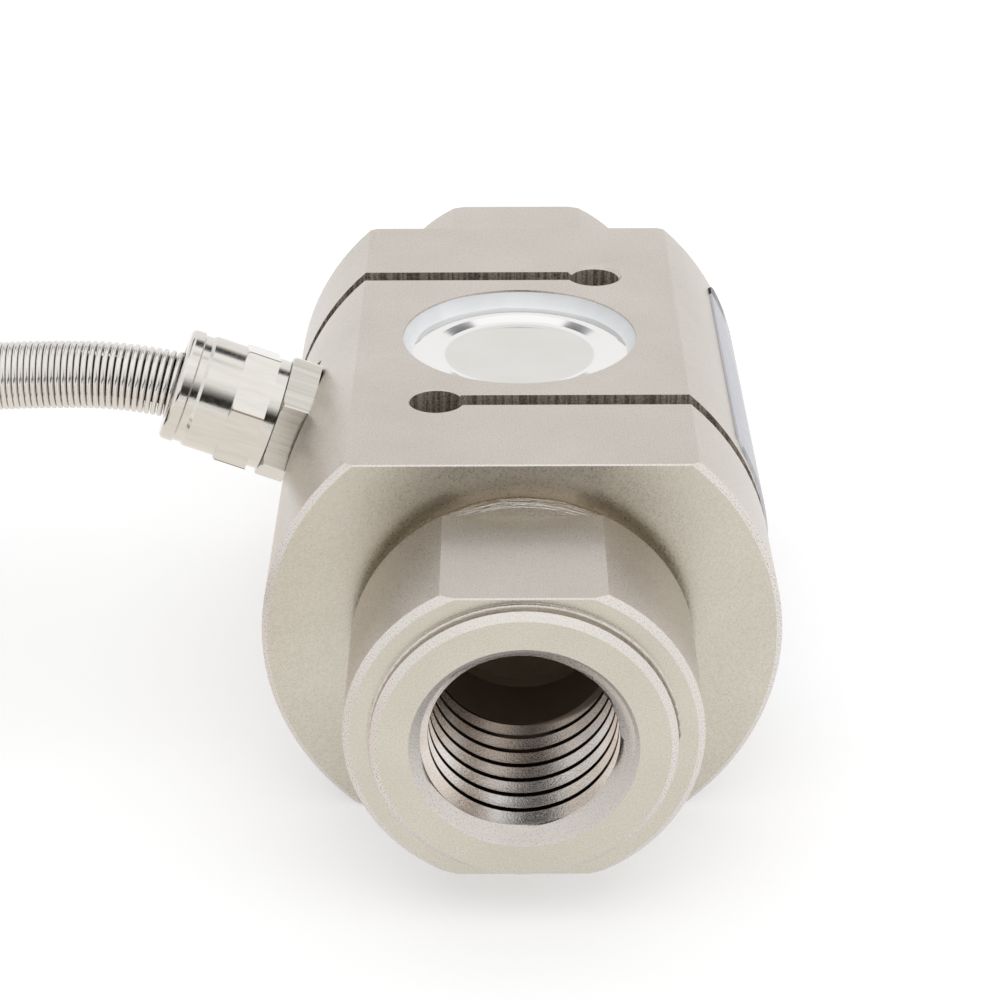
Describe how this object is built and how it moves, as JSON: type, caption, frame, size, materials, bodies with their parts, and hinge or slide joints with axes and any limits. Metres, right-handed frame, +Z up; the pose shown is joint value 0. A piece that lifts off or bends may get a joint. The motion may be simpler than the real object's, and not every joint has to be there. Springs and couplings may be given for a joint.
{
  "type": "s type load cell",
  "caption": "Round S-type load cell with flats, threaded blind bores at both ends, offset slots, sealed gauge cavities and a spring-guarded cable.",
  "frame": {"origin": "centre of the lower flat of the spring element, directly under the crossing of the loading axis and the gauge cavities", "axes": "+Y along the loading axis towards the rear threaded end, +Z up out of the upper flat, +X towards the nameplate, opposite the cable gland"},
  "size_m": [0.2371, 0.1196, 0.0451],
  "materials": {
    "nickel_steel": "satin nickel plate on turned and milled alloy steel",
    "cup_steel": "pressed stainless sheet, satin",
    "white_sealant": "smoothed white silicone",
    "plate_metal": "bright satin printed plate",
    "gland_nickel": "polished nickel plate on brass",
    "black_rubber": "moulded rubber",
    "hose_steel": "bright close-wound wire",
    "cable_jacket": "dark grey extruded jacket",
    "tie_plastic": "black nylon",
    "red_insulation": "extruded",
    "black_insulation": "extruded",
    "green_insulation": "extruded",
    "white_insulation": "extruded",
    "tinned_copper": "tinned twisted wire",
    "gauge_film": "amber polyimide film with foil grid",
    "board_green": "glass-epoxy board",
    "chip_ceramic": "fired chip body"
  },
  "bodies": {
    "root": {"spring_element": "nickel_steel", "sealing_cup_top": "cup_steel", "sealing_cup_bottom": "cup_steel", "sealant_top": "white_sealant", "sealant_bottom": "white_sealant", "nameplate": "plate_metal", "gland_body": "gland_nickel", "gland_seal_ring": "black_rubber", "gland_nut": "gland_nickel", "gland_bush": "black_rubber", "gland_washer": "gland_nickel", "spring_guard": "hose_steel", "guard_end_sleeve": "gland_nickel", "signal_cable": "cable_jacket", "cable_coil": "cable_jacket", "cable_tie_1": "tie_plastic", "cable_tie_2": "tie_plastic", "cable_tail": "cable_jacket", "cable_end_sleeve": "tie_plastic", "lead_red": "red_insulation", "lead_black": "black_insulation", "lead_green": "green_insulation", "lead_white": "white_insulation", "lead_shield": "tinned_copper", "core_red": "red_insulation", "core_black": "black_insulation", "core_green": "green_insulation", "core_white": "white_insulation", "strain_gauge_1": "gauge_film", "strain_gauge_2": "gauge_film", "strain_gauge_3": "gauge_film", "strain_gauge_4": "gauge_film", "bridge_board": "board_green", "trim_resistors": "chip_ceramic"}
  },
  "joints": []
}
